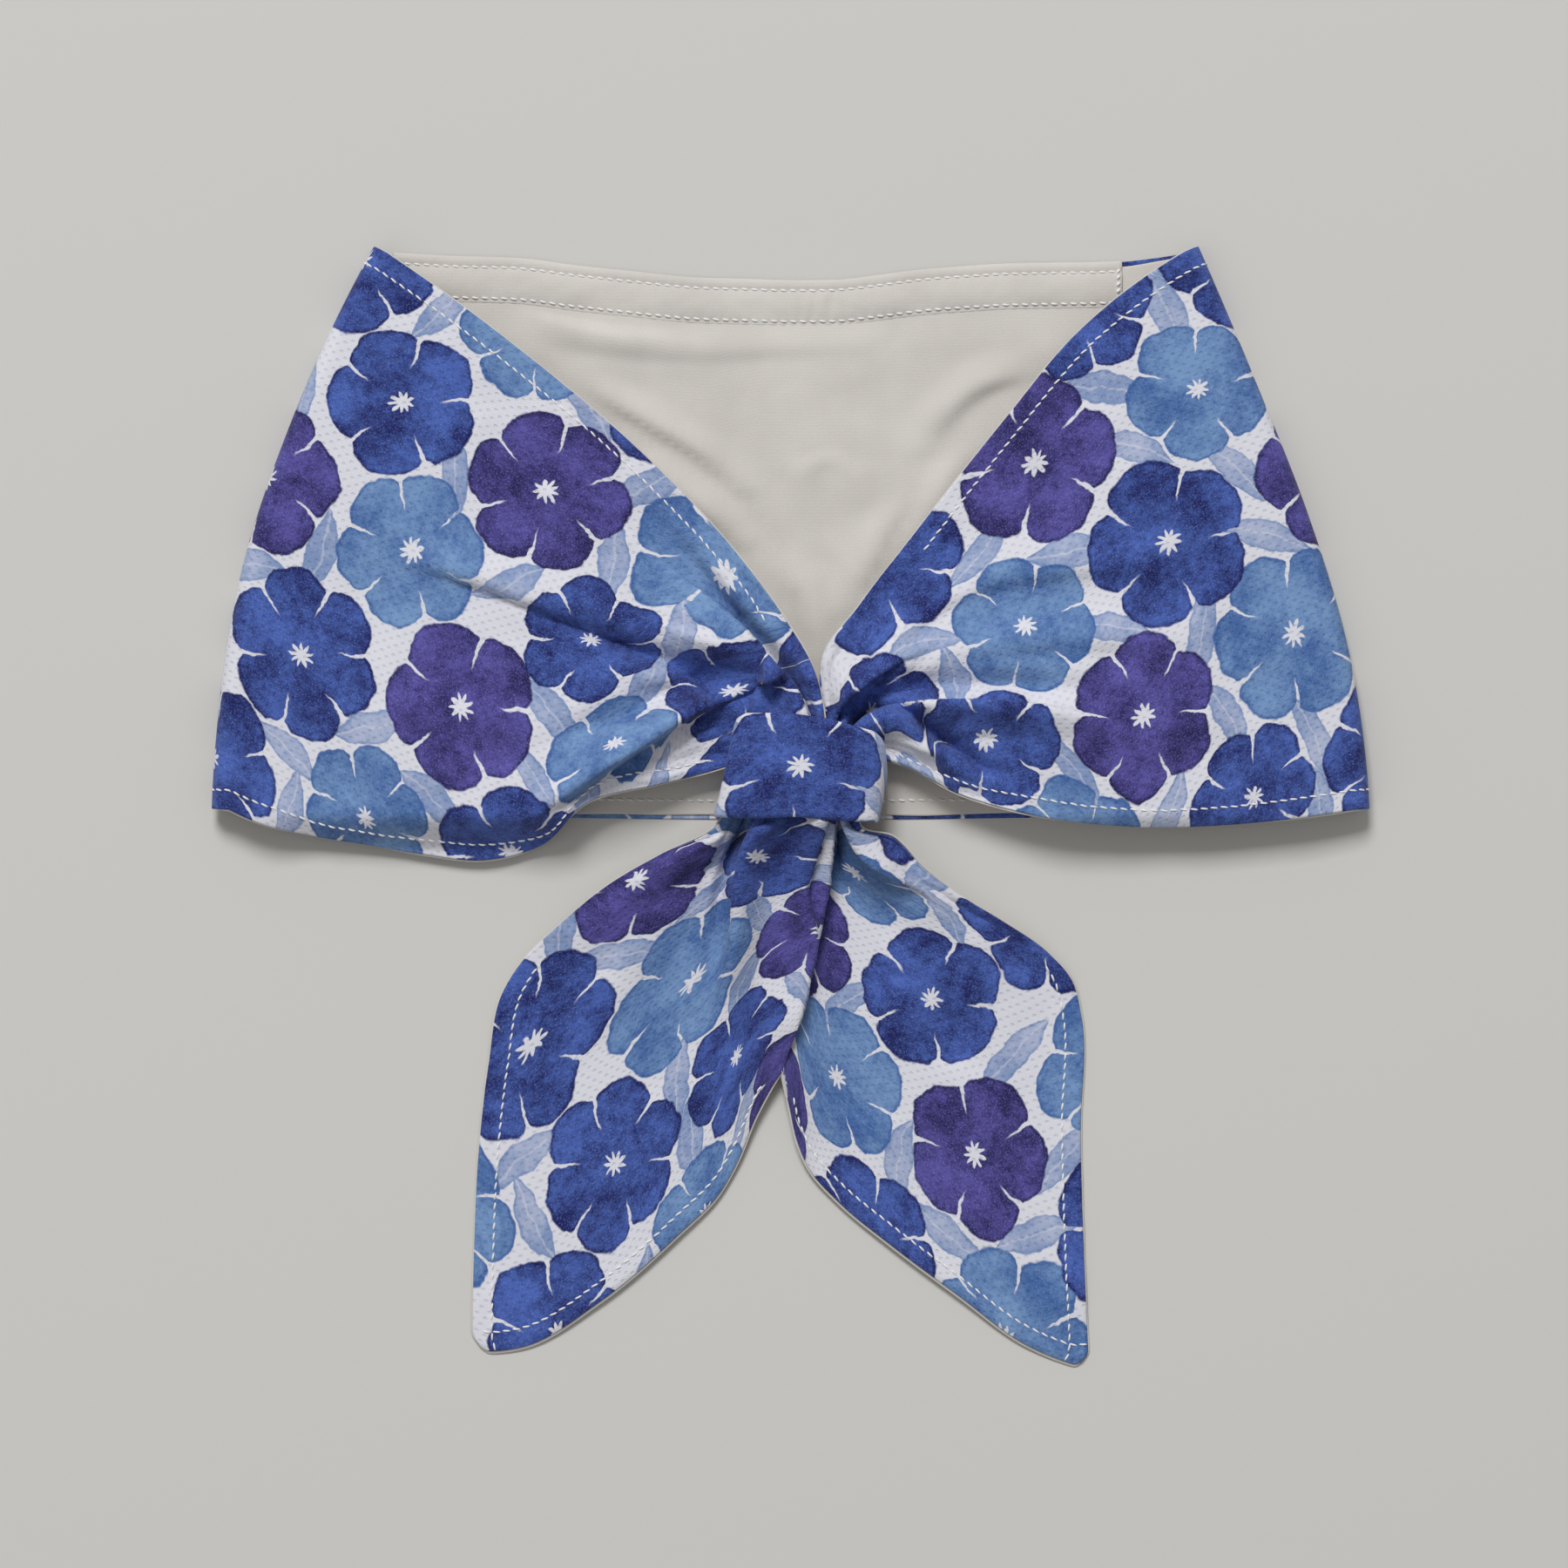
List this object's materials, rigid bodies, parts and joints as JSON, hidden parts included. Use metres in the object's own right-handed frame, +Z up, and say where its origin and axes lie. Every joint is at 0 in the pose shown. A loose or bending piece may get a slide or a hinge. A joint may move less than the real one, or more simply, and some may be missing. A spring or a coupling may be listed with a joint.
{
  "type": "cooling neck wrap",
  "caption": "Wide lined cloth neck wrap laid flat, gathered at the front into a loop, with a forked tail below it.",
  "frame": {"origin": "middle of the outline, on the surface it lies on", "axes": "+X across the wrap to the right of the top view, +Y from the tail towards the neck edge, +Z up"},
  "size_m": [0.3446, 0.334, 0.0206],
  "materials": {
    "printed_mesh": "matt knitted mesh with a blue floral print on white",
    "beige_lining": "smooth matt tricot"
  },
  "bodies": {
    "root": {"band_outer": "printed_mesh", "band_lining": "beige_lining", "neck_casing": "beige_lining", "knot_loop": "printed_mesh", "tail_outer": "printed_mesh", "tail_lining": "beige_lining"}
  },
  "joints": []
}
